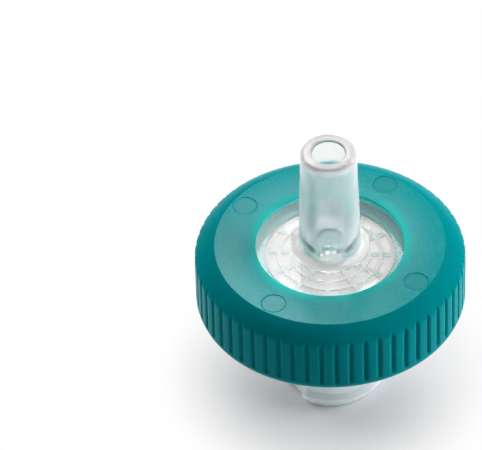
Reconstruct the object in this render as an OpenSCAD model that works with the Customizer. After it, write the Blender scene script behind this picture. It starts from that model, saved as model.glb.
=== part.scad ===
// Small syringe filter with an overmoulded grip ring.
// The flow axis is Z. The inlet mouth stands on z = 0 and the outlet spout points up.

/* [Grip ring] */
// Diameter over the grip ribs
ring_d = 19; // [18.8:0.1:19.6]
// Height of the ring along the flow axis
ring_h = 5; // [4.6:0.1:5.4]
// Number of grooves round the grip
groove_count = 58; // [40:2:64]
// Width of one grip groove where it opens
groove_w = 0.36; // [0.2:0.02:0.5]
// Width of one grip groove at its floor
groove_floor_w = 0.18; // [0.1:0.02:0.2]
// Depth of one grip groove
groove_depth = 0.25; // [0.1:0.05:0.35]
// Angle of the first groove from the X axis
groove_start = 3.9; // [0:0.1:6.2]
// Diameter of the flat face on the outlet side
outlet_flat_d = 16.2; // [15:0.1:17]
// Height of the rounded shoulder on the outlet side
shoulder_h = 0.95; // [0.6:0.05:1.2]
// Diameter of the flat face on the inlet side
inlet_flat_d = 18.4; // [17.6:0.1:18.6]
// Height of the rounded edge on the inlet side
band_h = 0.45; // [0.3:0.05:0.8]
// Height at which the grooves stop above the inlet face
groove_stop = 0.5; // [0.3:0.05:1]
// Rounding of the lips round the two windows
lip_round = 0.1; // [0.05:0.05:0.3]

/* [Ejector marks] */
// Diameter of one round ejector mark
mark_d = 1.8; // [1:0.1:2]
// Depth of the ejector marks
mark_depth = 0.06; // [0.03:0.01:0.1]
// Diameter of the circle that the marks lie on
mark_circle_d = 14.3; // [13.5:0.1:14.5]
// Angle of the first mark from the X axis
mark_start = 55; // [0:1:89]

/* [Windows and plates] */
// Diameter of the window on the outlet side
outlet_window_d = 10.46; // [10:0.02:10.8]
// Diameter of the window on the inlet side
inlet_window_d = 10.64; // [10:0.02:10.8]
// Depth of the two windows below the ring's faces
window_depth = 0.1; // [0.05:0.05:0.3]
// Thickness of the outlet plate behind its window
outlet_plate_t = 1.75; // [1.5:0.05:2]
// Diameter of the flange round each plate, buried in the ring
flange_d = 14.8; // [14.4:0.1:15.2]
// Thickness of the ring over the flanges
flange_cover = 0.9; // [0.6:0.05:1.2]

/* [Membrane] */
// Diameter of the membrane disc
membrane_d = 13; // [12:0.1:13.4]
// Thickness of the membrane disc
membrane_t = 0.15; // [0.1:0.01:0.2]
// Diameter of the area that filters
filter_area_d = 9.2; // [8.6:0.1:9.3]

/* [Support grid] */
// Number of radial channels and ribs
spoke_count = 12; // [6:1:16]
// Angle of the first spoke from the X axis
spoke_start = -5; // [-30:1:30]
// Width of one channel or rib
spoke_w = 0.3; // [0.2:0.02:0.36]
// Distance from one round channel to the next
channel_pitch = 0.85; // [0.7:0.05:1]
// Depth of the channels in the outlet plate
channel_depth = 0.25; // [0.2:0.05:0.5]
// Depth of the chamber in the inlet plate
chamber_depth = 0.45; // [0.3:0.05:0.6]

/* [Outlet spout] */
// Length of the spout above the ring
spout_h = 8.7; // [8:0.1:9.5]
// Diameter at the gauge plane, 0.75 mm below the tip
spout_gauge_d = 3.96; // [3.92:0.01:3.99]
// Rounding of the spout's rim
rim_round = 0.26; // [0.2:0.02:0.5]
// Diameter of the flow hole in the spout
spout_bore_d = 2.3; // [1.8:0.05:2.4]
// Chamfer at the mouth of the flow hole
bore_chamfer = 0.15; // [0.05:0.05:0.2]
// Fillet where the spout meets the window
spout_fillet = 0.5; // [0.2:0.05:0.6]

/* [Inlet hub] */
// Length of the hub below the ring
hub_h = 7.95; // [7.8:0.05:8.6]
// Diameter of the hub at its root
hub_root_d = 6.84; // [6.7:0.02:7]
// Diameter of the hub just behind its lugs
hub_mouth_d = 6.6; // [6.4:0.02:6.7]
// Diameter of the hub's end, between the lugs
hub_nose_d = 5.8; // [5.4:0.1:6.2]
// Fillet where the hub meets the window
hub_fillet = 0.8; // [0.4:0.05:1]
// Diameter of the socket at its mouth
socket_d = 4.28; // [4.27:0.01:4.31]
// Depth of the tapered socket
socket_depth = 8; // [7.5:0.1:8.2]
// Diameter of the flow hole below the socket
inlet_bore_d = 2.2; // [1.6:0.1:2.6]
// Diameter over the two lugs
lug_d = 7.8; // [7.73:0.01:7.83]
// Distance from the mouth to the back of the lugs
lug_back = 1.3; // [1:0.05:1.6]
// Width of the cylindrical part of a lug
lug_land = 0.3; // [0.3:0.05:0.6]
// Step from the hub's end out to the foot of a lug
lug_step = 0.4; // [0.2:0.05:0.5]
// Angle that one lug spans
lug_span = 140; // [90:5:150]
// Angle of the middle of the first lug from the X axis
lug_middle = -55; // [-90:5:90]

/* [Hidden] */
$fn = 96;
EPS = 0.01;
// Both tapers are 6 percent on the diameter, the standard for these fittings
LUER_SLOPE = 0.03;
GAUGE_DROP = 0.75;
// Points along one rounded edge
ARC_STEPS = 6;

ring_bottom = hub_h;
ring_top = hub_h + ring_h;
tip_z = ring_top + spout_h;
inlet_face = ring_bottom + window_depth;
outlet_face = ring_top - window_depth;
flange_bottom = ring_bottom + flange_cover;
flange_top = ring_top - flange_cover;
// The plates meet on the middle plane of the membrane
membrane_top = outlet_face - outlet_plate_t;
membrane_bottom = membrane_top - membrane_t;
split_z = (membrane_top + membrane_bottom) / 2;

ring_r = ring_d / 2;
flange_r = flange_d / 2;
pocket_r = membrane_d / 2 + 0.05;
outlet_seam_r = outlet_window_d / 2;
inlet_seam_r = inlet_window_d / 2;
spout_tip_r = spout_gauge_d / 2 - LUER_SLOPE * GAUGE_DROP;
spout_root_r = spout_tip_r + LUER_SLOPE * (tip_z - outlet_face);
socket_end_r = socket_d / 2 - LUER_SLOPE * socket_depth;
hub_root_r = hub_root_d / 2;
hub_mouth_r = hub_mouth_d / 2;
hub_nose_r = hub_nose_d / 2;
groove_step = 360 / groove_count;

// Points of an arc round c, from angle a0 to angle a1
function arc(c, r, a0, a1) =
    [for (i = [0:ARC_STEPS]) let (a = a0 + (a1 - a0) * i / ARC_STEPS) c + r * [cos(a), sin(a)]];

// Half section of the hub with its plate, radius against height
module inlet_section() {
    polygon(concat(
        [[socket_d / 2, 0],
         [hub_nose_r, 0],
         [hub_mouth_r, lug_back]],
        arc([hub_root_r + hub_fillet, inlet_face - hub_fillet], hub_fillet, 180, 90),
        [[inlet_seam_r, inlet_face],
         [inlet_seam_r, flange_bottom],
         [flange_r, flange_bottom],
         [flange_r, split_z],
         [pocket_r, split_z],
         [pocket_r, membrane_bottom],
         [filter_area_d / 2, membrane_bottom],
         [filter_area_d / 2, membrane_bottom - chamber_depth],
         [inlet_bore_d / 2, membrane_bottom - chamber_depth],
         [inlet_bore_d / 2, socket_depth],
         [socket_end_r, socket_depth]]
    ));
}

// Half section of one lug: it slopes up from the mouth, and its back is flat
module lug_section() {
    inner = hub_nose_r - 0.2;
    polygon([
        [inner, 0],
        [hub_nose_r + lug_step, 0],
        [lug_d / 2, lug_back - lug_land],
        [lug_d / 2, lug_back],
        [inner, lug_back]
    ]);
}

module lugs() {
    for (side = [0, 180])
        rotate([0, 0, lug_middle - lug_span / 2 + side])
            rotate_extrude(angle = lug_span)
                lug_section();
}

// Radial ribs that hold the membrane off the chamber floor
module chamber_ribs() {
    rib_from = inlet_bore_d / 2 + 0.5;
    rib_to = filter_area_d / 2 + EPS;
    for (i = [0:spoke_count - 1])
        rotate([0, 0, spoke_start + i * 360 / spoke_count])
            translate([rib_from, -spoke_w / 2, membrane_bottom - chamber_depth - EPS])
                cube([rib_to - rib_from, spoke_w, chamber_depth + EPS]);
}

// Lower clear piece: Luer socket, lugs, window and distribution chamber
module inlet_housing() {
    color([0.86, 0.92, 0.93, 0.6])
        union() {
            rotate_extrude()
                inlet_section();
            lugs();
            chamber_ribs();
        }
}

// Half section of the spout with its plate, radius against height
module outlet_section() {
    bore_r = spout_bore_d / 2;
    fillet_foot = spout_root_r + spout_fillet;
    polygon(concat(
        [[bore_r, membrane_top],
         [pocket_r, membrane_top],
         [pocket_r, split_z],
         [flange_r, split_z],
         [flange_r, flange_top],
         [outlet_seam_r, flange_top],
         [outlet_seam_r, outlet_face]],
        arc([fillet_foot, outlet_face + spout_fillet], spout_fillet, 270, 180),
        arc([spout_tip_r - rim_round, tip_z - rim_round], rim_round, 0, 90),
        [[bore_r + bore_chamfer, tip_z],
         [bore_r, tip_z - bore_chamfer]]
    ));
}

// Channels in the underside of the outlet plate, which drain the membrane to the spout
module drain_channels() {
    channel_end = filter_area_d / 2;
    innermost = spout_bore_d / 2 + spoke_w;
    translate([0, 0, membrane_top - EPS]) {
        for (r = [channel_end - spoke_w:-channel_pitch:innermost])
            rotate_extrude()
                translate([r, 0])
                    square([spoke_w, channel_depth + EPS]);
        for (i = [0:spoke_count - 1])
            rotate([0, 0, spoke_start + i * 360 / spoke_count])
                translate([spout_bore_d / 4, -spoke_w / 2, 0])
                    cube([channel_end - spout_bore_d / 4, spoke_w, channel_depth + EPS]);
    }
}

// Upper clear piece: Luer spout, window and drain channels
module outlet_housing() {
    color([0.86, 0.92, 0.93, 0.6])
        difference() {
            rotate_extrude()
                outlet_section();
            drain_channels();
        }
}

// White filter membrane, held between the two plates
module membrane() {
    color("white")
        translate([0, 0, membrane_bottom])
            cylinder(d = membrane_d, h = membrane_t);
}

// Half section of the ring before its grooves are cut, radius against height
module ring_section() {
    crest_low = ring_bottom + band_h;
    crest_high = ring_top - shoulder_h;
    shoulder_run = ring_r - outlet_flat_d / 2;
    polygon(concat(
        [[flange_r, flange_bottom],
         [inlet_seam_r, flange_bottom]],
        arc([inlet_seam_r + lip_round, ring_bottom + lip_round], lip_round, 180, 270),
        [[inlet_flat_d / 2, ring_bottom],
         [inlet_flat_d / 2 + (ring_r - inlet_flat_d / 2) * 0.6, ring_bottom + band_h * 0.2],
         [ring_r, crest_low]],
        // the shoulder swells a little from its straight line
        [for (i = [0:ARC_STEPS])
            let (s = i / ARC_STEPS)
                [ring_r - shoulder_run * s,
                 crest_high + shoulder_h * (s + 0.5 * s * (1 - s))]],
        arc([outlet_seam_r + lip_round, ring_top - lip_round], lip_round, 90, 180),
        [[outlet_seam_r, flange_top],
         [flange_r, flange_top]]
    ));
}

// One straight groove, wider where it opens
module groove() {
    floor_x = ring_r - groove_depth;
    over = 0.2;
    flare = (groove_w - groove_floor_w) / 2 / groove_depth;
    mouth_w = groove_floor_w + 2 * flare * (groove_depth + over);
    translate([0, 0, ring_bottom + groove_stop])
        linear_extrude(ring_h)
            polygon([
                [floor_x, -groove_floor_w / 2],
                [ring_r + over, -mouth_w / 2],
                [ring_r + over, mouth_w / 2],
                [floor_x, groove_floor_w / 2]
            ]);
}

module ejector_marks() {
    for (i = [0:3])
        rotate([0, 0, mark_start + i * 90])
            translate([mark_circle_d / 2, 0, ring_top - mark_depth])
                cylinder(d = mark_d, h = mark_depth + EPS);
}

// Teal ring moulded over the edges of both clear pieces
module grip_ring() {
    color([0.0, 0.55, 0.56])
        difference() {
            rotate_extrude()
                ring_section();
            for (i = [0:groove_count - 1])
                rotate([0, 0, groove_start + i * groove_step])
                    groove();
            ejector_marks();
        }
}

inlet_housing();
outlet_housing();
membrane();
grip_ring();
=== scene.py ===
"""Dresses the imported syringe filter: teal grip ring, two clear housings and a white membrane."""

import math

import bmesh
import bpy
from bpy.props import FloatProperty, FloatVectorProperty, IntProperty, PointerProperty
from mathutils import Matrix, Vector


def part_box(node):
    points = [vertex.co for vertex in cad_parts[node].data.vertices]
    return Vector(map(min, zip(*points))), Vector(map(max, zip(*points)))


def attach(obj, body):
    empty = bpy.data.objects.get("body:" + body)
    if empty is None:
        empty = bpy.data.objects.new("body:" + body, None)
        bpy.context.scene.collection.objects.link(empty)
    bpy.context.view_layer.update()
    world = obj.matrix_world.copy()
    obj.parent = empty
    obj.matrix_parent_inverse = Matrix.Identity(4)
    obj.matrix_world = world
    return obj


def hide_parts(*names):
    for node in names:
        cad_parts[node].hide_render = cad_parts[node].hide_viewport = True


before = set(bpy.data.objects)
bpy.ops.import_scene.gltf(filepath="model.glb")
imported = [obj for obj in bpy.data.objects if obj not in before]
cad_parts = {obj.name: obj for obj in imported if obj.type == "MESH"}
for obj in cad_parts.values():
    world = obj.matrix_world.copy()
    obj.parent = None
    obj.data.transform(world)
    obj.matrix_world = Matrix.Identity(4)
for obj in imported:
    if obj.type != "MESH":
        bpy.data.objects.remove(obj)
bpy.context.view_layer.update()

bl_info = {
    "name": "Syringe Filter",
    "version": (1, 0, 0),
    "blender": (4, 5, 0),
    "location": "3D View > Sidebar > Filter",
    "description": "Models the grip ring, housings, membrane and studio of a syringe filter",
    "category": "Object",
}

MM = 0.001
WELD = 0.002 * MM
BODY = "root"

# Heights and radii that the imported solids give
INLET_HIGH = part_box("inlet_housing")[1]
OUTLET_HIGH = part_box("outlet_housing")[1]
RING_LOW, RING_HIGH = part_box("grip_ring")
MEMBRANE_LOW, MEMBRANE_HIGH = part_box("membrane")
RING_BOTTOM = RING_LOW.z
RING_TOP = RING_HIGH.z
RING_R = max(RING_HIGH.x, -RING_LOW.x)
TIP_Z = OUTLET_HIGH.z
PLATE_R = OUTLET_HIGH.x
SPLIT_Z = INLET_HIGH.z

# The windows lie just below the ring's faces, and the plates' flanges deeper in the ring
WINDOW_DROP = 0.1 * MM
FLANGE_DROP = 0.9 * MM
OUTLET_FACE = RING_TOP - WINDOW_DROP
INLET_FACE = RING_BOTTOM + WINDOW_DROP
FLANGE_TOP = RING_TOP - FLANGE_DROP
FLANGE_BOTTOM = RING_BOTTOM + FLANGE_DROP
OUTLET_SEAM_R = 5.23 * MM
INLET_SEAM_R = 5.32 * MM

# The membrane's pocket, and the channels and ribs that face its open area. A spoke's end
# wall stands within this reach of its radius.
POCKET_R = MEMBRANE_HIGH.x + 0.05 * MM
FILTER_R = 4.6 * MM
CHANNEL_RINGS = 4
CHANNEL_PITCH = 0.85 * MM
CHANNEL_DEPTH = 0.25 * MM
CHAMBER_DEPTH = 0.45 * MM
SPOKES = 12
SPOKE_PITCH = 2 * math.pi / SPOKES
SPOKE_START = math.radians(-5)
SPOKE_W = 0.3 * MM
RIB_START_R = 1.6 * MM
RIB_TURN_R = 1.3 * MM
END_REACH = 0.02 * MM

# Both fittings lose this much radius for each unit of height
TAPER = 0.03
SPOUT_GAUGE_DROP = 0.75 * MM
BORE_ROUND = 0.15 * MM
BORE_LEAD = 0.3 * MM
SOCKET_MOUTH_R = 2.14 * MM
SOCKET_ROUND = 0.08 * MM
SOCKET_LEAD = 0.3 * MM
SOCKET_DEPTH = 8.0 * MM
INLET_BORE_R = 1.1 * MM
HUB_FILLET = 0.8 * MM

# The lugs rise from the mouth to their full width, and end in a flat back
LUG_FRONT = 1.0 * MM
LUG_BACK = 1.3 * MM
LUG_TURN = -55
LUG_HALF_SPAN = 70
LUG_FOOT = 0.4 * MM
LUG_EDGE_R = 2.95 * MM
LUG_ROUND = 0.05 * MM
LUG_SHARP = math.radians(30)

# The clear plates stop this far from the membrane and from each other
CONTACT_GAP = 0.01 * MM
# The ring grips this deep into the plates, so that no air shows between them
BOND = 0.012 * MM
# Corners stand this far off a rounding, so that the flat beside it keeps a flat shade
SUPPORT = 0.1 * MM
HUB_SUPPORT = 1.0 * MM
HUB_MOUTH_SUPPORT = 0.5 * MM

# The ring's lower edge: its flat, its chamfer and the foot of its grip
HEEL_R = 9.2 * MM
HEEL_ROUND = 0.08 * MM
CHAMFER_R = 9.38 * MM
CHAMFER_RISE = 0.09 * MM
CHAMFER_ROUND = 0.06 * MM
GRIP_RISE = 0.4 * MM
GRIP_ROUND = 0.1 * MM
CREST_SUPPORT = 0.02 * MM
# Rows across the lower ends of the grooves, in mm above the ring's bottom
GROOVE_ROWS = (0.46, 0.52, 0.58, 0.64, 0.70, 0.78)
# Rows up the shoulder, as shares of its run, closest where the grooves run out
SHOULDER_ROWS = (0.06, 0.09, 0.12, 0.15, 0.18, 0.22, 0.3, 0.4, 0.5, 0.6, 0.7, 0.8, 0.9)
SHOULDER_BULGE = 0.5
FLAT_ROUND = 0.03 * MM
LIP_ROUND = 0.1 * MM

# Columns of one pitch, in mm from the groove's middle line
GROOVE_COLUMNS = [0.0, 0.03, 0.06, 0.09, 0.12, 0.15, 0.18, 0.21, 0.245, 0.36]
GROOVE_HALF_W = 0.245 * MM
GROOVE_SLOPE_W = 0.225 * MM
GROOVE_END_RISE = 0.42 * MM
GROOVE_END_H = 0.36 * MM

# Each ejector mark is a fine moat round a floor that comes part of the way up again
MARK_COUNT = 4
MARK_TURN = 55
MARK_CIRCLE_R = 7.15 * MM
MARK_WALL_W = 0.03 * MM
MARK_MOAT_W = 0.1 * MM
MARK_RETURN = 0.6

# Materials after the first: the ring's face and marks, painted lighter as lit from above, its bond,
# painted with a glow, and the housings' matt finish
FACE_PAINTED_LIGHT_SLOT = 1
MARK_PAINTED_LIGHT_SLOT = 2
BOND_PAINTED_GLOW_SLOT = 3
FROSTED_SLOT = 1
# The bond's painted glow reaches this far above the plates' flange
BOND_PAINTED_GLOW_RISE = 0.7 * MM

HOUSING_STEPS = 144
ROUND_STEPS = 6
LUG_ROUND_STEPS = 2
CIRCLE_STEPS = 64
SMOOTH_ANGLE = math.radians(24)

# Noise patterns, in waves for each metre
TEAL_CLOUDS = 350.0
TEAL_WAVES = 500.0
TEAL_GRAIN = 9000.0
CLEAR_WAVES = 600.0
CLEAR_GRAIN = 2500.0
MEMBRANE_CLOUDS = 900.0
MEMBRANE_PORES = 12000.0
FLOOR_GRAIN = 900.0
WAVE_DEPTH = 0.02 * MM
GRAIN_DEPTH = 0.01 * MM
# The middle of a noise pattern's values, which the finishes spread over their own range
NOISE_SPAN = (0.3, 0.7)
TEAL_CLOUD_SPAN = (0.35, 0.65)
MEMBRANE_CLOUD_SPAN = (0.4, 0.7)
TEAL_SHADE = 0.93
MEMBRANE_SHADE = 0.95

# How far a grain moves the roughness up and down, and the roughness of the other finishes
TEAL_SPREAD = 0.05
CLEAR_SPREAD = 0.02
LIP_ROUGHNESS = (0.45, 0.55)
BOND_ROUGHNESS = (0.5, 0.6)
MEMBRANE_ROUGHNESS = (0.75, 0.9)
# The teal plastic is thin at the first radius, and at its full thickness from the second; the lip's
# painted glow and its duller roughness fade out over this span
LIP_PAINTED_GLOW_SPAN = (5.2 * MM, 6.2 * MM)

# Where each milky part of the clear plastic fades in or out, and how milky it is
FACING_SPAN = (0.35, 1.0)
FACING_MILK = (1.1, 2.5)
SPOUT_START = (OUTLET_FACE + 0.2 * MM, OUTLET_FACE + 0.6 * MM)
SPOUT_WALL = (1.3 * MM, 1.5 * MM)
SPOUT_CLIMB = (OUTLET_FACE + 0.6 * MM, OUTLET_FACE + 3.0 * MM)
SPOUT_CLIMB_MILK = (0.45, 1.15)
HUB_START = (INLET_FACE - 0.6 * MM, INLET_FACE - 0.2 * MM)
HUB_WALL = (2.2 * MM, 2.5 * MM)
HUB_MILK = 2.3
RIM_START = (TIP_Z - 0.9 * MM, TIP_Z - 0.4 * MM)
RIM_WALL = (1.16 * MM, 1.2 * MM)
RIM_MILK = 0.55
ROOT_START = (OUTLET_FACE - 0.01 * MM, OUTLET_FACE)
ROOT_END = (OUTLET_FACE + 0.3 * MM, OUTLET_FACE + 0.55 * MM)
ROOT_REACH = (2.7 * MM, 2.85 * MM)
ROOT_MILK = 0.6
PLATE_REACH = (FILTER_R, FILTER_R + 0.1 * MM)
PLATE_MILK = 0.02
# Painted shade: the spout's flat end turns grey from here
END_PAINTED_SHADE_START = (TIP_Z - 0.14 * MM, TIP_Z - 0.03 * MM)
# Milkiness over which the walls' tint comes in, and over which the rim and root lose it
TINT_SPAN = (0.02, 0.15)
UNTINT_SPAN = (0.0, 0.4)

# Radii over which the membrane turns from open white to its clamped rim's painted teal-tinted
# shade, and from that to painted light where the ring covers it
CLAMP_PAINTED_SHADE_SPAN = (FILTER_R - 0.02 * MM, FILTER_R + 0.06 * MM)
BURIED_PAINTED_LIGHT_SPAN = (OUTLET_SEAM_R, OUTLET_SEAM_R + 0.4 * MM)

# What the camera sees at the height of the ring's outlet face
VIEW_WIDTH = 33.76 * MM
VIEW_RIGHT = -6.2243 * MM
VIEW_UP = 1.2794 * MM
SENSOR_WIDTH = 36.0

# The floor keeps its shadow up to the first radius, and is plain white past the second
FLOOR_R = 3.0
FLOOR_GAP = 0.02 * MM
FLOOR_FADE = (4.0 * MM, 13.0 * MM)
FLOOR_FADE_START = 0.15

# Soft lamps: name, place, width, height, power and what they light. Each one aims at the
# ring. A matt lamp is seen in no reflection, and a sheen lamp is seen only there.
LAMP_TARGET = (0, 0, 0.01)
LAMPS = (
    ("right_back", (0.557, 0.557, 0.616), 0.6, 0.6, 0.679, "all"),
    ("left_back_low", (-0.624, 0.743, 0.242), 0.7, 0.4, 2.023, "matt"),
    ("left_back_high", (-0.694, 0.583, 0.423), 0.6, 0.5, 3.581, "matt"),
    ("back_low", (0.000, 0.970, 0.242), 1.0, 0.4, 2.890, "matt"),
    ("back_top", (0.000, 0.309, 0.951), 1.0, 0.4, 0.754, "matt"),
    ("back_high", (0.000, 0.743, 0.669), 0.5, 0.4, 3.613, "matt"),
    ("right_low", (0.978, 0.000, 0.208), 0.7, 0.4, 4.046, "matt"),
    ("right_high", (0.906, 0.000, 0.423), 0.7, 0.6, 7.521, "matt"),
    ("right_top", (0.500, 0.000, 0.866), 0.6, 0.5, 0.565, "matt"),
    ("left_high", (-0.766, 0.000, 0.643), 0.6, 0.5, 0.848, "matt"),
)
SHEEN_TARGET = (0, 0, 0.013)
SHEEN_LAMP = ("sheen", (-0.02, 0.085, 0.135), 0.06, 0.06, 0.0509, "sheen")


# ---------------------------------------------------------------- settings


class FilterRingSettings(bpy.types.PropertyGroup):
    """Sizes and colours of the grip ring"""

    groove_count: IntProperty(
        name="Grooves", description="Number of grooves round the grip", default=58, min=3
    )
    groove_start: FloatProperty(
        name="First groove",
        description="Angle of the first groove from the X axis",
        default=math.radians(3.9),
        subtype="ANGLE",
    )
    groove_depth: FloatProperty(
        name="Groove depth",
        description="Depth of the grooves below the crest",
        default=0.2 * MM,
        unit="LENGTH",
    )
    flat_d: FloatProperty(
        name="Outlet face diameter",
        description="Diameter of the flat face on the outlet side",
        default=16.2 * MM,
        unit="LENGTH",
    )
    shoulder_h: FloatProperty(
        name="Shoulder height",
        description="Height of the rounded shoulder on the outlet side",
        default=0.95 * MM,
        unit="LENGTH",
    )
    mark_d: FloatProperty(
        name="Ejector mark diameter",
        description="Diameter of one round ejector mark",
        default=1.8 * MM,
        unit="LENGTH",
    )
    mark_depth: FloatProperty(
        name="Ejector mark depth",
        description="Depth of the ejector marks",
        default=0.06 * MM,
        unit="LENGTH",
    )
    colour: FloatVectorProperty(
        name="Teal",
        description="Colour of the teal plastic",
        default=(0.0, 0.232, 0.258),
        subtype="COLOR",
        min=0.0,
        max=1.0,
    )
    # Painted light: the flat outlet face takes a lighter copy of the grip teal, as lit from above
    face_painted_light_colour: FloatVectorProperty(
        name="Face teal",
        description="Colour of the teal plastic on the two flat faces",
        default=(0.0, 0.335, 0.355),
        subtype="COLOR",
        min=0.0,
        max=1.0,
    )
    # Painted light: the ejector marks also take a lighter copy of the grip teal, as lit from above
    mark_painted_light_colour: FloatVectorProperty(
        name="Mark teal",
        description="Colour of the teal plastic in the ejector marks",
        default=(0.0, 0.315, 0.335),
        subtype="COLOR",
        min=0.0,
        max=1.0,
    )
    # Painted glow: the thin lip is painted paler and greener, as lit through the thin plastic
    lip_painted_glow_colour: FloatVectorProperty(
        name="Lip teal",
        description="Colour of the teal plastic where it is thin, at the window's lip",
        default=(0.0, 0.515, 0.450),
        subtype="COLOR",
        min=0.0,
        max=1.0,
    )
    # Painted glow: the plastic that grips the plates is painted bright, as if lit through the ring
    bond_painted_glow_colour: FloatVectorProperty(
        name="Bonded teal",
        description="Colour of the teal plastic seen through the clear plates",
        default=(0.03, 0.72, 0.69),
        subtype="COLOR",
        min=0.0,
        max=1.0,
    )


class FilterHousingSettings(bpy.types.PropertyGroup):
    """Sizes and colours of the two clear housings"""

    spout_gauge_d: FloatProperty(
        name="Spout gauge diameter",
        description="Diameter of the spout 0.75 mm below its tip",
        default=3.96 * MM,
        unit="LENGTH",
    )
    spout_bore_d: FloatProperty(
        name="Spout bore",
        description="Diameter of the flow hole in the spout",
        default=2.3 * MM,
        unit="LENGTH",
    )
    rim_round: FloatProperty(
        name="Rim rounding",
        description="Rounding of the spout's rim",
        default=0.26 * MM,
        unit="LENGTH",
    )
    root_fillet: FloatProperty(
        name="Root fillet",
        description="Fillet where the spout meets the window",
        default=0.5 * MM,
        unit="LENGTH",
    )
    hub_root_d: FloatProperty(
        name="Hub root diameter",
        description="Diameter of the hub at its root",
        default=6.84 * MM,
        unit="LENGTH",
    )
    hub_mouth_d: FloatProperty(
        name="Hub mouth diameter",
        description="Diameter of the hub just behind its lugs",
        default=6.6 * MM,
        unit="LENGTH",
    )
    hub_nose_d: FloatProperty(
        name="Hub end diameter",
        description="Diameter of the hub's end, between the lugs",
        default=5.8 * MM,
        unit="LENGTH",
    )
    lug_d: FloatProperty(
        name="Lug diameter",
        description="Diameter over the two lugs",
        default=7.8 * MM,
        unit="LENGTH",
    )
    colour: FloatVectorProperty(
        name="Clear plastic",
        description="Colour of the clear plastic",
        default=(0.79, 0.945, 1.0),
        subtype="COLOR",
        min=0.0,
        max=1.0,
    )
    plain_colour: FloatVectorProperty(
        name="Plain plastic",
        description="Colour of the clear plastic at the windows, the rim and the root",
        default=(0.98, 0.965, 0.975),
        subtype="COLOR",
        min=0.0,
        max=1.0,
    )
    # Painted shade: the spout's flat end is painted grey
    end_painted_shade_colour: FloatVectorProperty(
        name="Spout end",
        description="Colour of the plastic on the flat end of the spout",
        default=(0.64, 0.63, 0.64),
        subtype="COLOR",
        min=0.0,
        max=1.0,
    )
    milk: FloatProperty(
        name="Milkiness",
        description="Share of the light that the spout's and the hub's outer walls scatter",
        default=0.3,
        min=0.0,
        max=0.5,
    )
    membrane_colour: FloatVectorProperty(
        name="Membrane",
        description="Colour of the membrane",
        default=(0.97, 0.91, 0.88),
        subtype="COLOR",
        min=0.0,
        max=1.0,
    )
    # Painted shade: teal-tinted shade on the membrane's clamped rim
    clamped_painted_shade_colour: FloatVectorProperty(
        name="Clamped membrane",
        description="Colour of the membrane's pressed rim between the housings",
        default=(0.27, 0.65, 0.63),
        subtype="COLOR",
        min=0.0,
        max=1.0,
    )
    # Painted light: a pale colour that lightens the membrane's rim in the ring's shadow
    buried_painted_light_colour: FloatVectorProperty(
        name="Buried membrane",
        description="Colour of the membrane's pressed rim where the ring covers it",
        default=(0.80, 1.0, 0.98),
        subtype="COLOR",
        min=0.0,
        max=1.0,
    )


class FilterStageSettings(bpy.types.PropertyGroup):
    """Camera and floor of the studio"""

    distance: FloatProperty(
        name="Camera distance",
        description="Distance from the camera to the ring's outlet face",
        default=0.4,
        unit="LENGTH",
    )
    elevation: FloatProperty(
        name="Camera elevation",
        description="Angle of the camera above the floor",
        default=math.radians(43.459),
        subtype="ANGLE",
    )
    roll: FloatProperty(
        name="Camera roll",
        description="Turn of the camera about its own axis",
        default=math.radians(1.77),
        subtype="ANGLE",
    )
    floor_colour: FloatVectorProperty(
        name="Floor",
        description="Colour of the studio floor",
        default=(0.82, 0.79, 0.805),
        subtype="COLOR",
        min=0.0,
        max=1.0,
    )


# ---------------------------------------------------------------- mesh helpers


def draw_section(bm, corners):
    """Draws a closed half section from its corners, and rounds the ones that have a setback."""
    verts = [bm.verts.new((r, 0, z)) for r, z, _ in corners]
    bm.faces.new(verts)
    for vert, (_, _, setback) in zip(verts, corners):
        if setback:
            bmesh.ops.bevel(
                bm,
                geom=[vert],
                offset=setback,
                offset_type="OFFSET",
                affect="VERTICES",
                segments=ROUND_STEPS,
                profile=0.5,
                material=-1,
                clamp_overlap=True,
            )
    bmesh.ops.delete(bm, geom=bm.faces[:], context="FACES_ONLY")


def spin_section(bm, angle, steps, merge):
    """Spins a half section about the flow axis."""
    bmesh.ops.spin(
        bm,
        geom=bm.verts[:] + bm.edges[:],
        cent=(0, 0, 0),
        axis=(0, 0, 1),
        angle=angle,
        steps=steps,
        use_merge=merge,
    )


def turn_mesh(bm, angle):
    """Turns the whole mesh about the flow axis."""
    turn = Matrix.Rotation(angle, 3, "Z")
    bmesh.ops.rotate(bm, verts=bm.verts[:], cent=(0, 0, 0), matrix=turn)


def radius_of(co):
    """Distance of a point from the flow axis."""
    return math.hypot(co.x, co.y)


def off_spoke(co):
    """Angle from the nearest spoke's middle line, signed."""
    angle = math.atan2(co.y, co.x) - SPOKE_START
    return (angle + SPOKE_PITCH / 2) % SPOKE_PITCH - SPOKE_PITCH / 2


def square_spokes(verts):
    """Turns the columns of a spun plate, so that each spoke's two edges run parallel."""
    step = 2 * math.pi / HOUSING_STEPS
    last = round(SPOKE_PITCH / 2 / step)
    for vert in verts:
        angle = off_spoke(vert.co)
        column = round(abs(angle) / step)
        if not 0 < column < last:
            continue
        edge = math.asin(SPOKE_W / 2 / radius_of(vert.co))
        new = edge + (SPOKE_PITCH / 2 - edge) * (column - 1) / (last - 1)
        turn = math.copysign(new, angle) - angle
        vert.co.rotate(Matrix.Rotation(turn, 3, "Z"))


def in_spoke(face):
    """Tells whether a face lies within a spoke's width."""
    centre = face.calc_center_median()
    return abs(math.sin(off_spoke(centre))) * radius_of(centre) < SPOKE_W / 2 - WELD


def within(face, low, high):
    """Tells whether a face lies between two heights."""
    return all(low - WELD < v.co.z < high + WELD for v in face.verts)


def extrude_faces(bm, faces):
    """Extrudes faces as one region, without the old ones inside, and gives the new vertices."""
    made = bmesh.ops.extrude_face_region(bm, geom=faces)["geom"]
    bmesh.ops.delete(bm, geom=faces, context="FACES")
    return [item for item in made if isinstance(item, bmesh.types.BMVert)]


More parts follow.
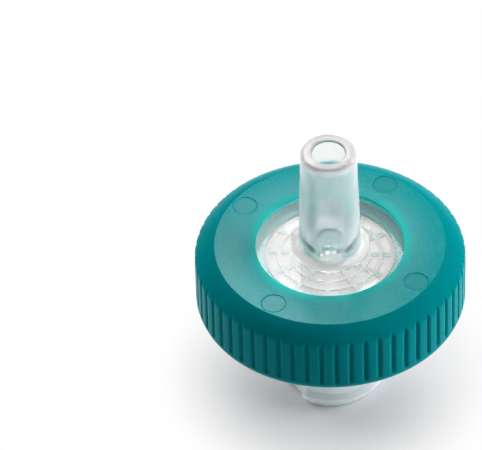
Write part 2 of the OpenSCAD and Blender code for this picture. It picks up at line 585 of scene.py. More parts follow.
def lift_faces(bm, faces, lift):
    """Extrudes flat faces straight up by lift."""
    bmesh.ops.translate(bm, verts=extrude_faces(bm, faces), vec=(0, 0, lift))


def open_ends(bm, radius, low, high):
    """Takes away the walls that stand across the spokes' ends."""
    ends = [
        face
        for face in bm.faces
        if all(abs(radius_of(v.co) - radius) < END_REACH for v in face.verts)
        and within(face, low, high)
        and in_spoke(face)
    ]
    bmesh.ops.delete(bm, geom=ends, context="FACES")


def join_doubles(bm):
    """Merges the vertices that a spin or an extrusion leaves on each other."""
    bmesh.ops.remove_doubles(bm, verts=bm.verts[:], dist=WELD)


def weld(bm):
    """Merges doubles and turns all faces outwards."""
    join_doubles(bm)
    bmesh.ops.recalc_face_normals(bm, faces=bm.faces[:])


def frost(bm, low, high):
    """Gives the faces next to the membrane the second, matt finish."""
    for face in bm.faces:
        inner = all(radius_of(v.co) < FILTER_R + WELD for v in face.verts)
        if inner and within(face, low, high):
            face.material_index = FROSTED_SLOT


def finish_piece(bm, name, materials, replaced):
    """Makes the object, sets its materials and hooks it to the frame."""
    mesh = bpy.data.meshes.new(name)
    bm.to_mesh(mesh)
    bm.free()
    for material in materials:
        mesh.materials.append(material)
    mesh.polygons.foreach_set("use_smooth", [True] * len(mesh.polygons))
    mesh.set_sharp_from_angle(angle=SMOOTH_ANGLE)
    piece = bpy.data.objects.new(name, mesh)
    bpy.context.scene.collection.objects.link(piece)
    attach(piece, BODY)
    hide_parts(replaced)


# ---------------------------------------------------------------- materials


class NodeBench:
    """Places and links shader nodes in one tree."""

    def __init__(self, tree):
        self.tree = tree
        self.tree.nodes.clear()

    def add(self, kind, settings=None, **inputs):
        """Adds a node, with its settings and with its input sockets by name."""
        node = self.tree.nodes.new(kind)
        for key, value in (settings or {}).items():
            setattr(node, key, value)
        for key, value in inputs.items():
            self.feed(node, key.replace("_", " "), value)
        return node

    def feed(self, node, key, value):
        """Links a socket to an input, or sets the input's value. A digit is an input's number."""
        socket = node.inputs[int(key)] if key.isdigit() else node.inputs[key]
        if isinstance(value, bpy.types.NodeSocket):
            self.tree.links.new(value, socket)
        else:
            socket.default_value = value

    def maths(self, operation, first, second):
        """Works out one number from two."""
        node = self.add("ShaderNodeMath", {"operation": operation})
        self.feed(node, "0", first)
        self.feed(node, "1", second)
        return node.outputs[0]

    def cover(self, shader):
        """Puts the shader on the surface."""
        self.add("ShaderNodeOutputMaterial", Surface=shader.outputs[0])


def new_material(name):
    """Makes a material with an empty node tree."""
    material = bpy.data.materials.new(name)
    material.use_nodes = True
    return material, NodeBench(material.node_tree)


def rgba(colour):
    """Adds full opacity to a colour."""
    return (*colour, 1.0)


def noise(bench, where, scale, detail=3.0, roughness=0.5):
    """Cloudy or grainy pattern of the given scale."""
    node = bench.add("ShaderNodeTexNoise", Scale=scale, Detail=detail, Roughness=roughness)
    bench.feed(node, "Vector", where)
    return node.outputs["Fac"]


def ranged(bench, value, span, to_low, to_high, ease="SMOOTHSTEP"):
    """Carries a value's span over to a new range."""
    node = bench.add(
        "ShaderNodeMapRange",
        {"interpolation_type": ease},
        From_Min=span[0],
        From_Max=span[1],
        To_Min=to_low,
        To_Max=to_high,
    )
    bench.feed(node, "Value", value)
    return node.outputs["Result"]


def mixed(bench, factor, first, second):
    """Mixes two colours. The node's colours are its inputs 6 and 7 and its output 2."""
    node = bench.add("ShaderNodeMix", {"data_type": "RGBA"})
    bench.feed(node, "0", factor)
    bench.feed(node, "6", first)
    bench.feed(node, "7", second)
    return node.outputs[2]


def product(bench, first, second):
    return bench.maths("MULTIPLY", first, second)


def larger(bench, first, second):
    return bench.maths("MAXIMUM", first, second)


def bumped(bench, height, strength, distance, under=None):
    """Raises a pattern on the surface, or on a first bump under it."""
    node = bench.add("ShaderNodeBump", Strength=strength, Distance=distance)
    bench.feed(node, "Height", height)
    if under is not None:
        bench.feed(node, "Normal", under)
    return node.outputs["Normal"]


def object_place(bench):
    """Place on the piece, in the frame's own metres."""
    return bench.add("ShaderNodeTexCoord").outputs["Object"]


def height_of(bench, place):
    """Height above the end of the hub."""
    split = bench.add("ShaderNodeSeparateXYZ")
    bench.feed(split, "Vector", place)
    return split.outputs["Z"]


def axis_distance(bench, place):
    """Distance from the flow axis."""
    flat = bench.add("ShaderNodeMapping", {"vector_type": "POINT"}, Scale=(1, 1, 0))
    bench.feed(flat, "Vector", place)
    length = bench.add("ShaderNodeVectorMath", {"operation": "LENGTH"})
    bench.feed(length, "0", flat.outputs["Vector"])
    return length.outputs["Value"]


def clouded(bench, cloud, base, colour):
    """Lays faint darker clouds of a teal colour over its base."""
    shade = rgba(TEAL_SHADE * part for part in colour)
    return mixed(bench, ranged(bench, cloud, TEAL_CLOUD_SPAN, 0.0, 0.5), base, shade)


def teal_plastic(settings, name, colour, roughness, specular, grain):
    """Opaque teal plastic with a fine moulded grain, duller where it thins at the lip, and painted
    paler there as a glow.
    """
    material, bench = new_material(name)
    place = object_place(bench)
    # Painted glow: paler teal near the lip; the same share also dulls the roughness there
    painted_lip_glow_and_dull = ranged(bench, axis_distance(bench, place), LIP_PAINTED_GLOW_SPAN, 1.0, 0.0)
    base = mixed(bench, painted_lip_glow_and_dull, rgba(colour), rgba(settings.lip_painted_glow_colour))
    cloud = noise(bench, place, TEAL_CLOUDS)
    wave = noise(bench, place, TEAL_WAVES, detail=2.0)
    fine = noise(bench, place, TEAL_GRAIN, detail=4.0, roughness=0.6)
    soft = bumped(bench, wave, strength=0.25, distance=WAVE_DEPTH)
    shader = bench.add(
        "ShaderNodeBsdfPrincipled",
        IOR=1.5,
        Specular_IOR_Level=specular,
        Base_Color=clouded(bench, cloud, base, colour),
        Subsurface_Weight=0.7,
        Subsurface_Radius=(0.3, 1.0, 0.9),
        Subsurface_Scale=0.8 * MM,
        Roughness=mixed(
            bench,
            painted_lip_glow_and_dull,
            ranged(bench, fine, NOISE_SPAN, roughness - TEAL_SPREAD, roughness + TEAL_SPREAD),
            ranged(bench, fine, NOISE_SPAN, *LIP_ROUGHNESS),
        ),
        Normal=bumped(bench, fine, grain, GRAIN_DEPTH, soft),
    )
    bench.cover(shader)
    return material


def teal_painted_glow(name, settings):
    """Teal plastic where it grips the clear plates, painted bright as a glow of light through the
    ring from outside.
    """
    material, bench = new_material(name)
    cloud = noise(bench, object_place(bench), TEAL_CLOUDS)
    painted_bond_glow = settings.bond_painted_glow_colour
    shader = bench.add(
        "ShaderNodeBsdfPrincipled",
        IOR=1.5,
        Specular_IOR_Level=0.1,
        Base_Color=clouded(bench, cloud, rgba(painted_bond_glow), painted_bond_glow),
        Subsurface_Weight=1.0,
        Subsurface_Radius=(0.5, 1.0, 1.0),
        Subsurface_Scale=1.5 * MM,
        Roughness=ranged(bench, cloud, NOISE_SPAN, *BOND_ROUGHNESS),
    )
    bench.cover(shader)
    return material


def milky_parts(bench, place, milk):
    """Milkiness of the outer walls, rim and root, and the share of the walls' tint."""
    height = height_of(bench, place)
    reach = axis_distance(bench, place)
    facing = bench.add("ShaderNodeLayerWeight", Blend=0.5).outputs["Facing"]
    wall = ranged(bench, facing, FACING_SPAN, *(milk * share for share in FACING_MILK))

    spout = product(
        bench,
        ranged(bench, height, SPOUT_START, 0.0, 1.0),
        ranged(bench, reach, SPOUT_WALL, 0.0, 1.0),
    )
    climb = ranged(bench, height, SPOUT_CLIMB, *SPOUT_CLIMB_MILK)
    spout = product(bench, wall, product(bench, spout, climb))
    hub = product(
        bench,
        ranged(bench, height, HUB_START, 1.0, 0.0),
        ranged(bench, reach, HUB_WALL, 0.0, HUB_MILK),
    )
    walls = larger(bench, spout, product(bench, wall, hub))

    rim = product(
        bench,
        ranged(bench, height, RIM_START, 0.0, RIM_MILK),
        ranged(bench, reach, RIM_WALL, 0.0, 1.0),
    )
    window = ranged(bench, height, ROOT_START, 0.0, 1.0)
    root = product(bench, window, ranged(bench, height, ROOT_END, ROOT_MILK, 0.0))
    root = product(bench, root, ranged(bench, reach, ROOT_REACH, 1.0, 0.0))
    pale = larger(bench, rim, root)
    plate = product(bench, window, ranged(bench, reach, PLATE_REACH, 0.0, PLATE_MILK))

    tinted = product(
        bench,
        ranged(bench, walls, TINT_SPAN, 0.0, 1.0),
        ranged(bench, pale, UNTINT_SPAN, 1.0, 0.0),
    )
    return larger(bench, larger(bench, walls, plate), pale), tinted


def clear_plastic(name, settings, veil, roughness):
    """Clear plastic with a polished moulded surface, slightly milky where the walls are thick, with
    painted grey shade on the spout's flat end.
    """
    material, bench = new_material(name)
    place = object_place(bench)
    fine = noise(bench, place, CLEAR_GRAIN)
    wave = noise(bench, place, CLEAR_WAVES, detail=2.0)
    inside = bench.add("ShaderNodeNewGeometry").outputs["Backfacing"]
    milky, tinted = milky_parts(bench, place, settings.milk)
    # Painted shade: grey on the spout's flat end
    end = ranged(bench, height_of(bench, place), END_PAINTED_SHADE_START, 0.0, 1.0)
    plain = mixed(bench, end, rgba(settings.plain_colour), rgba(settings.end_painted_shade_colour))
    tint = mixed(bench, tinted, plain, rgba(settings.colour))
    clear = ranged(bench, milky, (0.0, 1.0), 1.0 - veil, 0.0, "LINEAR")
    shader = bench.add(
        "ShaderNodeBsdfPrincipled",
        IOR=1.49,
        Transmission_Weight=larger(bench, clear, inside),
        Base_Color=mixed(bench, inside, tint, (1, 1, 1, 1)),
        Roughness=ranged(
            bench, fine, NOISE_SPAN, roughness - CLEAR_SPREAD, roughness + CLEAR_SPREAD
        ),
        Subsurface_Weight=1.0,
        Subsurface_Radius=(1.0, 1.0, 1.0),
        Subsurface_Scale=3.0 * MM,
        Normal=bumped(bench, wave, strength=0.3, distance=WAVE_DEPTH),
    )
    bench.cover(shader)
    return material


def membrane_white(settings):
    """White porous membrane with a fine fibrous grain, its clamped rim painted with teal-tinted
    shade and painted lighter where the ring covers it.
    """
    material, bench = new_material("membrane_white")
    place = object_place(bench)
    reach = axis_distance(bench, place)
    fine = noise(bench, place, MEMBRANE_PORES, detail=5.0, roughness=0.65)
    cloud = noise(bench, place, MEMBRANE_CLOUDS)
    white = settings.membrane_colour
    shade = rgba(MEMBRANE_SHADE * part for part in white)
    share = ranged(bench, cloud, MEMBRANE_CLOUD_SPAN, 0.0, 1.0)
    open_area = mixed(bench, share, rgba(white), shade)
    painted_rim_share = ranged(bench, reach, CLAMP_PAINTED_SHADE_SPAN, 0.0, 1.0)
    painted_light_share = ranged(bench, reach, BURIED_PAINTED_LIGHT_SPAN, 0.0, 1.0)
    # Painted shade on the clamped rim, and painted light where the ring covers it
    rim = mixed(bench, painted_light_share, rgba(settings.clamped_painted_shade_colour), rgba(settings.buried_painted_light_colour))
    shader = bench.add(
        "ShaderNodeBsdfPrincipled",
        IOR=1.4,
        Specular_IOR_Level=0.2,
        Base_Color=mixed(bench, painted_rim_share, open_area, rim),
        Roughness=ranged(bench, fine, NOISE_SPAN, *MEMBRANE_ROUGHNESS),
        Normal=bumped(bench, fine, strength=0.3, distance=GRAIN_DEPTH),
    )
    bench.cover(shader)
    return material


def straight_rays(bench, path):
    """One for a ray that comes from the camera, also through the clear plastic."""
    return larger(bench, path.outputs["Is Camera Ray"], path.outputs["Is Transmission Ray"])


def studio_floor(settings):
    """Pale floor that keeps the shadow near the object and fades to plain white further out."""
    material, bench = new_material("studio_floor")
    place = object_place(bench)
    grain = noise(bench, place, FLOOR_GRAIN)
    matte = bench.add(
        "ShaderNodeBsdfDiffuse",
        Color=rgba(settings.floor_colour),
        Roughness=0.5,
        Normal=bumped(bench, grain, strength=0.05, distance=WAVE_DEPTH),
    )
    white = bench.add("ShaderNodeEmission", Color=(1, 1, 1, 1), Strength=1.0)
    far = ranged(bench, axis_distance(bench, place), FLOOR_FADE, FLOOR_FADE_START, 1.0)
    path = bench.add("ShaderNodeLightPath")
    seen = larger(bench, straight_rays(bench, path), path.outputs["Is Glossy Ray"])
    blend = bench.add("ShaderNodeMixShader")
    bench.feed(blend, "0", product(bench, far, seen))
    bench.feed(blend, "1", matte.outputs[0])
    bench.feed(blend, "2", white.outputs[0])
    bench.cover(blend)
    return material


# ---------------------------------------------------------------- grip ring


def ring_corners(settings):
    """Corners of the ring's half section: radius, height, setback of the rounding."""
    flat_r = settings.flat_d / 2
    crest_high = RING_TOP - settings.shoulder_h
    run = RING_R - flat_r
    corners = [
        (PLATE_R - BOND, FLANGE_BOTTOM + BOND, 0),
        (INLET_SEAM_R - BOND, FLANGE_BOTTOM + BOND, 0),
        (INLET_SEAM_R - BOND, RING_BOTTOM, LIP_ROUND),
        (HEEL_R, RING_BOTTOM, HEEL_ROUND),
        (CHAMFER_R, RING_BOTTOM + CHAMFER_RISE, CHAMFER_ROUND),
        (RING_R, RING_BOTTOM + GRIP_RISE, GRIP_ROUND),
    ]
    for rise in GROOVE_ROWS:
        corners.append((RING_R, RING_BOTTOM + rise * MM, 0))
    corners.append((RING_R, crest_high - CREST_SUPPORT, GRIP_ROUND))
    for share in SHOULDER_ROWS:
        rise = share + SHOULDER_BULGE * share * (1 - share)
        corners.append((RING_R - run * share, crest_high + settings.shoulder_h * rise, 0))
    corners += [
        (flat_r, RING_TOP, FLAT_ROUND),
        (OUTLET_SEAM_R - BOND, RING_TOP, LIP_ROUND),
        (OUTLET_SEAM_R - BOND, FLANGE_TOP - BOND, 0),
        (PLATE_R - BOND, FLANGE_TOP - BOND, 0),
    ]
    return corners


def eased(share):
    """Smooth step from 0 to 1."""
    t = min(max(share, 0.0), 1.0)
    return t * t * (3 - 2 * t)


def sink_groove(vert, settings, pitch):
    """Moves one vertex of a pitch to its column and into the groove."""
    angle = math.atan2(vert.co.y, vert.co.x)
    half = len(GROOVE_COLUMNS)
    column = round(angle / (pitch / 2 / half))
    away = GROOVE_COLUMNS[abs(column)] * MM if abs(column) < half else pitch / 2 * RING_R
    new = math.copysign(away / RING_R, angle)
    vert.co.rotate(Matrix.Rotation(new - angle, 3, "Z"))
    across = eased((GROOVE_HALF_W - away) / GROOVE_SLOPE_W)
    along = eased((vert.co.z - RING_BOTTOM - GROOVE_END_RISE) / GROOVE_END_H)
    limit = RING_R - settings.groove_depth * across * along
    reach = radius_of(vert.co)
    if reach > limit:
        vert.co.x *= limit / reach
        vert.co.y *= limit / reach


def sink_mark(bm, circle, centre, settings):
    """Runs a fine step down and part of the way up again round one mark, and closes its floor."""
    radius = settings.mark_d / 2
    down = (radius - MARK_WALL_W, settings.mark_depth)
    back = (radius - MARK_MOAT_W, -MARK_RETURN * settings.mark_depth)
    for inner, drop in (down, back):
        fresh = bmesh.ops.extrude_edge_only(bm, edges=circle)["geom"]
        verts = [item for item in fresh if isinstance(item, bmesh.types.BMVert)]
        circle = [item for item in fresh if isinstance(item, bmesh.types.BMEdge)]
        share = inner / (verts[0].co.xy - centre.xy).length
        bmesh.ops.scale(
            bm, vec=(share, share, 1), space=Matrix.Translation(-centre), verts=verts
        )
        bmesh.ops.translate(bm, verts=verts, vec=(0, 0, -drop))
    for face in bmesh.ops.contextual_create(bm, geom=circle)["faces"]:
        face.material_index = MARK_PAINTED_LIGHT_SLOT


def seat_marks(bm, settings):
    """Opens the flat outlet face and fills it again round the sunken ejector marks."""
    flat = [
        face for face in bm.faces if all(abs(v.co.z - RING_TOP) < WELD / 4 for v in face.verts)
    ]
    bmesh.ops.delete(bm, geom=flat, context="FACES")
    border = [edge for edge in bm.edges if edge.is_boundary]
    circles = []
    centres = []
    for turn in range(MARK_COUNT):
        angle = math.radians(MARK_TURN + 360 // MARK_COUNT * turn)
        centre = Vector((math.cos(angle), math.sin(angle), 0)) * MARK_CIRCLE_R
        centre.z = RING_TOP
        centres.append(centre)
        made = bmesh.ops.create_circle(
            bm,
            cap_ends=False,
            radius=settings.mark_d / 2,
            segments=CIRCLE_STEPS,
            matrix=Matrix.Translation(centre),
        )
        verts = set(made["verts"])
        circles.append([e for e in bm.edges if e.verts[0] in verts and e.verts[1] in verts])
    loops = border + [edge for circle in circles for edge in circle]
    bmesh.ops.triangle_fill(bm, use_beauty=True, edges=loops)
    for circle, centre in zip(circles, centres):
        sink_mark(bm, circle, centre, settings)


def colour_ring(bm, settings):
    """Sorts the ring's faces by material: the flat outlet face, painted lighter as lit from above,
    and what grips the clear plates, painted with a glow.
    """
    for face in bm.faces:
        centre = face.calc_center_median()
        reach = radius_of(centre)
        on_top = centre.z > RING_TOP - LIP_ROUND and reach < settings.flat_d / 2
        if on_top and face.material_index != MARK_PAINTED_LIGHT_SLOT:
            face.material_index = FACE_PAINTED_LIGHT_SLOT
        if reach < PLATE_R and FLANGE_BOTTOM < centre.z < FLANGE_TOP + BOND_PAINTED_GLOW_RISE:
            face.material_index = BOND_PAINTED_GLOW_SLOT


def make_ring(settings):
    """Spins one pitch of the ring, sinks its groove, and spins that round the whole ring."""
    bm = bmesh.new()
    pitch = 2 * math.pi / settings.groove_count
    draw_section(bm, ring_corners(settings))
    turn_mesh(bm, -pitch / 2)
    spin_section(bm, pitch, 2 * len(GROOVE_COLUMNS), False)
    for vert in bm.verts:
        sink_groove(vert, settings, pitch)
    bmesh.ops.spin(
        bm,
        geom=bm.verts[:] + bm.edges[:] + bm.faces[:],
        cent=(0, 0, 0),
        axis=(0, 0, 1),
        angle=2 * math.pi - pitch,
        steps=settings.groove_count - 1,
        use_duplicate=True,
    )
    join_doubles(bm)
    turn_mesh(bm, settings.groove_start)
    seat_marks(bm, settings)
    weld(bm)
    colour_ring(bm, settings)
    return bm


class FILTER_OT_grip_ring(bpy.types.Operator):
    """Models the teal ring with its grip grooves, lips and ejector marks"""

    bl_idname = "filter.grip_ring"
    bl_label = "Grip Ring"

    def execute(self, context):
        settings = context.scene.filter_ring
        # Name, colour, roughness, specular level and strength of the grain
        finishes = (
            ("teal_grip", settings.colour, 0.30, 0.02, 0.06),
            # The face and mark teals are painted lighter than the grip, as lit from above
            ("teal_face_painted_light", settings.face_painted_light_colour, 0.26, 0.4, 0.08),
            ("teal_mark_painted_light", settings.mark_painted_light_colour, 0.22, 0.4, 0.08),
        )
        materials = [teal_plastic(settings, *finish) for finish in finishes]
        # The bond's teal is painted bright as a glow
        materials.append(teal_painted_glow("teal_bond_painted_glow", settings))
        finish_piece(make_ring(settings), "GripRing", materials, "grip_ring")
        return {"FINISHED"}


# ---------------------------------------------------------------- housings


def outlet_corners(settings):
    """Corners of the spout and its plate: radius, height, setback of the rounding."""
    under = MEMBRANE_HIGH.z + CONTACT_GAP
    bore_r = settings.spout_bore_d / 2
    tip_r = settings.spout_gauge_d / 2 - TAPER * SPOUT_GAUGE_DROP
    root_r = tip_r + TAPER * (TIP_Z - OUTLET_FACE)
    foot = settings.root_fillet + SUPPORT
    neck = settings.rim_round + SUPPORT
    corners = [
        (bore_r, TIP_Z, BORE_ROUND),
        (bore_r, TIP_Z - BORE_LEAD, 0),
        (bore_r, under + CHANNEL_DEPTH, 0),
        (bore_r, under, 0),
    ]
    for ring in reversed(range(CHANNEL_RINGS)):
        outer = FILTER_R - ring * CHANNEL_PITCH
        corners += [(outer - SPOKE_W, under, 0), (outer, under, 0)]
    corners += [
        (POCKET_R, under, 0),
        (POCKET_R, SPLIT_Z + CONTACT_GAP, 0),
        (PLATE_R, SPLIT_Z + CONTACT_GAP, 0),
        (PLATE_R, FLANGE_TOP, 0),
        (OUTLET_SEAM_R, FLANGE_TOP, 0),
        (OUTLET_SEAM_R, OUTLET_FACE, 0),
        (root_r + foot, OUTLET_FACE, 0),
        (root_r, OUTLET_FACE, settings.root_fillet),
        (root_r - TAPER * foot, OUTLET_FACE + foot, 0),
        (tip_r + TAPER * neck, TIP_Z - neck, 0),
        (tip_r, TIP_Z, settings.rim_round),
    ]
    return corners


def make_outlet(settings):
    """Spins the spout and its plate, and lifts the drain channels into the plate."""
    bm = bmesh.new()
    draw_section(bm, outlet_corners(settings))
    spin_section(bm, 2 * math.pi, HOUSING_STEPS, True)
    join_doubles(bm)
    under = MEMBRANE_HIGH.z + CONTACT_GAP
    ceiling = under + CHANNEL_DEPTH
    bore_r = settings.spout_bore_d / 2
    square_spokes(
        [v for v in bm.verts if v.co.z < ceiling + WELD and radius_of(v.co) < FILTER_R + WELD]
    )
    channels = []
    for face in bm.faces:
        centre = face.calc_center_median()
        reach = radius_of(centre)
        if abs(centre.z - under) > WELD or reach > FILTER_R:
            continue
        in_ring = (FILTER_R - reach) % CHANNEL_PITCH < SPOKE_W and reach > bore_r + SPOKE_W
        if in_ring or in_spoke(face):
            channels.append(face)
    lift_faces(bm, channels, CHANNEL_DEPTH)
    open_ends(bm, bore_r, under, ceiling)
    weld(bm)
    frost(bm, under, ceiling)
    return bm


def inlet_corners(settings):
    """Corners of the hub and its plate: radius, height, setback of the rounding."""
    over = MEMBRANE_LOW.z - CONTACT_GAP
    chamber = over - CHAMBER_DEPTH
    root_r = settings.hub_root_d / 2
    mouth_r = settings.hub_mouth_d / 2
    nose_r = settings.hub_nose_d / 2
    flare = (mouth_r - nose_r) / LUG_BACK
    lean = (root_r - mouth_r) / (INLET_FACE - LUG_BACK)
    return [
        (SOCKET_MOUTH_R - TAPER * SOCKET_LEAD, SOCKET_LEAD, 0),
        (SOCKET_MOUTH_R, 0, SOCKET_ROUND),
        (nose_r, 0, 0),
        (nose_r + flare * LUG_FRONT, LUG_FRONT, 0),
        (mouth_r, LUG_BACK, 0),
        (mouth_r + lean * HUB_MOUTH_SUPPORT, LUG_BACK + HUB_MOUTH_SUPPORT, 0),
        (root_r - lean * HUB_SUPPORT, INLET_FACE - HUB_SUPPORT, 0),
        (root_r, INLET_FACE, HUB_FILLET),
        (root_r + HUB_SUPPORT, INLET_FACE, 0),
        (INLET_SEAM_R, INLET_FACE, 0),
        (INLET_SEAM_R, FLANGE_BOTTOM, 0),
        (PLATE_R, FLANGE_BOTTOM, 0),
        (PLATE_R, SPLIT_Z - CONTACT_GAP, 0),
        (POCKET_R, SPLIT_Z - CONTACT_GAP, 0),
        (POCKET_R, over, 0),
        (FILTER_R, over, 0),
        (FILTER_R, chamber, 0),
        (RIB_START_R, chamber, 0),
        (INLET_BORE_R, chamber, 0),
        (INLET_BORE_R, SOCKET_DEPTH, 0),
        (SOCKET_MOUTH_R - TAPER * SOCKET_DEPTH, SOCKET_DEPTH, 0),
    ]


def in_lug(face):
    """Tells whether a face lies under one of the two opposite lugs."""
    centre = face.calc_center_median()
    angle = math.degrees(math.atan2(centre.y, centre.x))
    return abs((angle - LUG_TURN + 90) % 180 - 90) < LUG_HALF_SPAN


def add_lugs(bm, settings):
    """Draws the hub's end out into two lugs that slope up from the mouth to a flat back."""
    nose_r = settings.hub_nose_d / 2
    lug_r = settings.lug_d / 2
    foot_r = nose_r + LUG_FOOT
    faces = [
        face
        for face in bm.faces
        if all(v.co.z < LUG_BACK + WELD and radius_of(v.co) > nose_r - WELD for v in face.verts)
        and in_lug(face)
    ]
    for vert in extrude_faces(bm, faces):
        rise = min(vert.co.z / LUG_FRONT, 1.0)
        wanted = foot_r + (lug_r - foot_r) * rise
        reach = radius_of(vert.co)
        vert.co.x *= wanted / reach
        vert.co.y *= wanted / reach


def soften_lugs(bm):
    """Rounds the lugs' sharp edges a little."""
    edges = [
        edge
        for edge in bm.edges
        if all(v.co.z < LUG_BACK + WELD and radius_of(v.co) > LUG_EDGE_R for v in edge.verts)
        and edge.calc_face_angle(0) > LUG_SHARP
    ]
    bmesh.ops.bevel(
        bm,
        geom=edges,
        offset=LUG_ROUND,
        offset_type="OFFSET",
        affect="EDGES",
        segments=LUG_ROUND_STEPS,
        profile=0.5,
        material=-1,
        clamp_overlap=True,
    )


def make_inlet(settings):
    """Spins the hub and its plate, raises the chamber's ribs and draws out the lugs."""
    bm = bmesh.new()
    draw_section(bm, inlet_corners(settings))
    spin_section(bm, 2 * math.pi, HOUSING_STEPS, True)
    join_doubles(bm)
    over = MEMBRANE_LOW.z - CONTACT_GAP
    chamber = over - CHAMBER_DEPTH
    square_spokes(
        [
            v
            for v in bm.verts
            if v.co.z > chamber - WELD and RIB_TURN_R < radius_of(v.co) < FILTER_R + WELD
        ]
    )
    ribs = [
        face
        for face in bm.faces
        if abs(face.calc_center_median().z - chamber) < WELD
        and radius_of(face.calc_center_median()) > RIB_START_R
        and in_spoke(face)
    ]
    lift_faces(bm, ribs, CHAMBER_DEPTH)
    open_ends(bm, FILTER_R, chamber, over)
    add_lugs(bm, settings)
    weld(bm)
    soften_lugs(bm)
    weld(bm)
    frost(bm, chamber, over)
    return bm


class FILTER_OT_outlet_housing(bpy.types.Operator):
    """Models the upper clear piece: tapered spout, window and drain channels"""

    bl_idname = "filter.outlet_housing"
    bl_label = "Outlet Housing"

    def execute(self, context):
        settings = context.scene.filter_housing
        materials = [
            clear_plastic("clear_outlet", settings, veil=0.08, roughness=0.07),
            clear_plastic("frosted_outlet", settings, veil=0.07, roughness=0.3),
        ]
        finish_piece(
            make_outlet(settings), "OutletHousing", materials, "outlet_housing"
        )
        return {"FINISHED"}


class FILTER_OT_inlet_housing(bpy.types.Operator):
    """Models the lower clear piece: tapered socket, lugs, window and chamber ribs"""

    bl_idname = "filter.inlet_housing"
    bl_label = "Inlet Housing"

    def execute(self, context):
        settings = context.scene.filter_housing
        materials = [
            clear_plastic("clear_inlet", settings, veil=0.08, roughness=0.07),
            clear_plastic("frosted_inlet", settings, veil=0.03, roughness=0.3),
        ]
        finish_piece(
            make_inlet(settings), "InletHousing", materials, "inlet_housing"
        )
        return {"FINISHED"}


class FILTER_OT_membrane(bpy.types.Operator):
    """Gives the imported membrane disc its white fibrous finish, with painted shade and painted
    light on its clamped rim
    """

    bl_idname = "filter.membrane"
    bl_label = "Membrane"

    def execute(self, context):
        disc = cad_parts["membrane"]
        disc.data.materials.clear()
        disc.data.materials.append(membrane_white(context.scene.filter_housing))
        return {"FINISHED"}


# ---------------------------------------------------------------- stage


def softbox(name, place, width, height, power, lit, target=LAMP_TARGET):
    """Adds one soft lamp that aims at the ring."""
    light = bpy.data.lights.new(name, "AREA")
    light.shape = "RECTANGLE"
    light.size = width
    light.size_y = height
    light.energy = power
    lamp = bpy.data.objects.new(name, light)
    lamp.location = place
    lamp.rotation_euler = (Vector(target) - Vector(place)).to_track_quat("-Z", "Y").to_euler()
    lamp.visible_camera = False
    if lit == "sheen":
        lamp.visible_diffuse = False
        lamp.visible_transmission = False
    if lit == "matt":
        lamp.visible_glossy = False
    bpy.context.scene.collection.objects.link(lamp)


def make_camera(settings):
    """Looks at the ring's outlet face from above the floor, a little off centre."""
    roll_cos, roll_sin = math.cos(settings.roll), math.sin(settings.roll)
    rise_cos, rise_sin = math.cos(settings.elevation), math.sin(settings.elevation)
    right = Vector((roll_cos, -roll_sin * rise_sin, -roll_sin * rise_cos))
    up = Vector((roll_sin, roll_cos * rise_sin, roll_cos * rise_cos))
    forward = Vector((0, rise_cos, -rise_sin))
    place = Vector((0, 0, RING_TOP)) - forward * settings.distance
    place += right * VIEW_RIGHT + up * VIEW_UP
    data = bpy.data.cameras.new("studio_camera")
    data.sensor_width = SENSOR_WIDTH
    data.lens = SENSOR_WIDTH * settings.distance / VIEW_WIDTH
    data.clip_start = 0.01
    data.clip_end = 20.0
    camera = bpy.data.objects.new("studio_camera", data)
    turn = Matrix((right, up, -forward)).transposed()
    camera.matrix_world = Matrix.Translation(place) @ turn.to_4x4()
    bpy.context.scene.collection.objects.link(camera)
    bpy.context.scene.camera = camera


def make_floor(settings):
    """Lays the floor just under the hub's end."""
    bm = bmesh.new()
    bmesh.ops.create_circle(bm, cap_ends=True, radius=FLOOR_R, segments=CIRCLE_STEPS)
    bmesh.ops.translate(bm, verts=bm.verts[:], vec=(0, 0, -FLOOR_GAP))
    mesh = bpy.data.meshes.new("StudioFloor")
    bm.to_mesh(mesh)
    bm.free()
    mesh.materials.append(studio_floor(settings))
    floor = bpy.data.objects.new("StudioFloor", mesh)
    bpy.context.scene.collection.objects.link(floor)


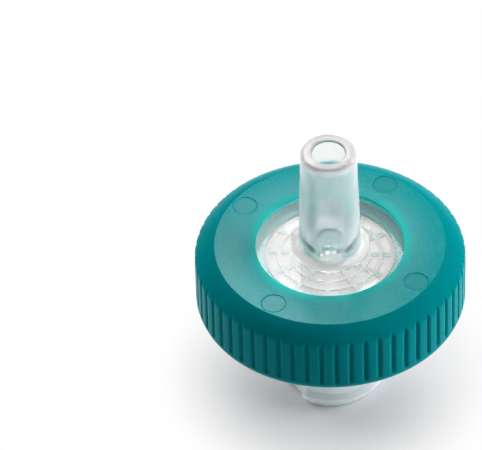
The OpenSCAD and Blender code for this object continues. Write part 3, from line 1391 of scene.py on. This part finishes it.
def make_world():
    """Gives a white background that sheds no light on the filter."""
    world = bpy.data.worlds.new("studio_world")
    bpy.context.scene.world = world
    world.use_nodes = True
    bench = NodeBench(world.node_tree)
    level = straight_rays(bench, bench.add("ShaderNodeLightPath"))
    sky = bench.add("ShaderNodeBackground", Color=(1, 1, 1, 1), Strength=level)
    bench.add("ShaderNodeOutputWorld", Surface=sky.outputs[0])


class FILTER_OT_stage(bpy.types.Operator):
    """Sets up the camera, the pale floor and the soft studio light"""

    bl_idname = "filter.stage"
    bl_label = "Studio Stage"

    def execute(self, context):
        settings = context.scene.filter_stage
        make_camera(settings)
        make_floor(settings)
        make_world()
        for lamp in LAMPS:
            softbox(*lamp)
        softbox(*SHEEN_LAMP, target=SHEEN_TARGET)
        context.scene.view_settings.view_transform = "Standard"
        return {"FINISHED"}


# ---------------------------------------------------------------- add-on


class FILTER_PT_panel(bpy.types.Panel):
    """Lists the filter's pieces and their settings"""

    bl_idname = "FILTER_PT_panel"
    bl_label = "Syringe Filter"
    bl_space_type = "VIEW_3D"
    bl_region_type = "UI"
    bl_category = "Filter"

    def draw(self, context):
        for label, group in (
            ("Grip ring", context.scene.filter_ring),
            ("Housings", context.scene.filter_housing),
            ("Studio", context.scene.filter_stage),
        ):
            column = self.layout.column()
            column.label(text=label)
            for name in group.__annotations__:
                column.prop(group, name)
        for operator in OPERATORS:
            self.layout.operator(operator.bl_idname)


OPERATORS = (
    FILTER_OT_grip_ring,
    FILTER_OT_outlet_housing,
    FILTER_OT_inlet_housing,
    FILTER_OT_membrane,
    FILTER_OT_stage,
)
GROUPS = {
    "filter_ring": FilterRingSettings,
    "filter_housing": FilterHousingSettings,
    "filter_stage": FilterStageSettings,
}


def register():
    for name, group in GROUPS.items():
        bpy.utils.register_class(group)
        setattr(bpy.types.Scene, name, PointerProperty(type=group))
    for cls in (*OPERATORS, FILTER_PT_panel):
        bpy.utils.register_class(cls)


def unregister():
    for cls in (FILTER_PT_panel, *reversed(OPERATORS)):
        bpy.utils.unregister_class(cls)
    for name, group in reversed(GROUPS.items()):
        delattr(bpy.types.Scene, name)
        bpy.utils.unregister_class(group)


def main():
    register()
    bpy.ops.filter.grip_ring()
    bpy.ops.filter.outlet_housing()
    bpy.ops.filter.inlet_housing()
    bpy.ops.filter.membrane()
    bpy.ops.filter.stage()


if __name__ == "__main__":
    main()
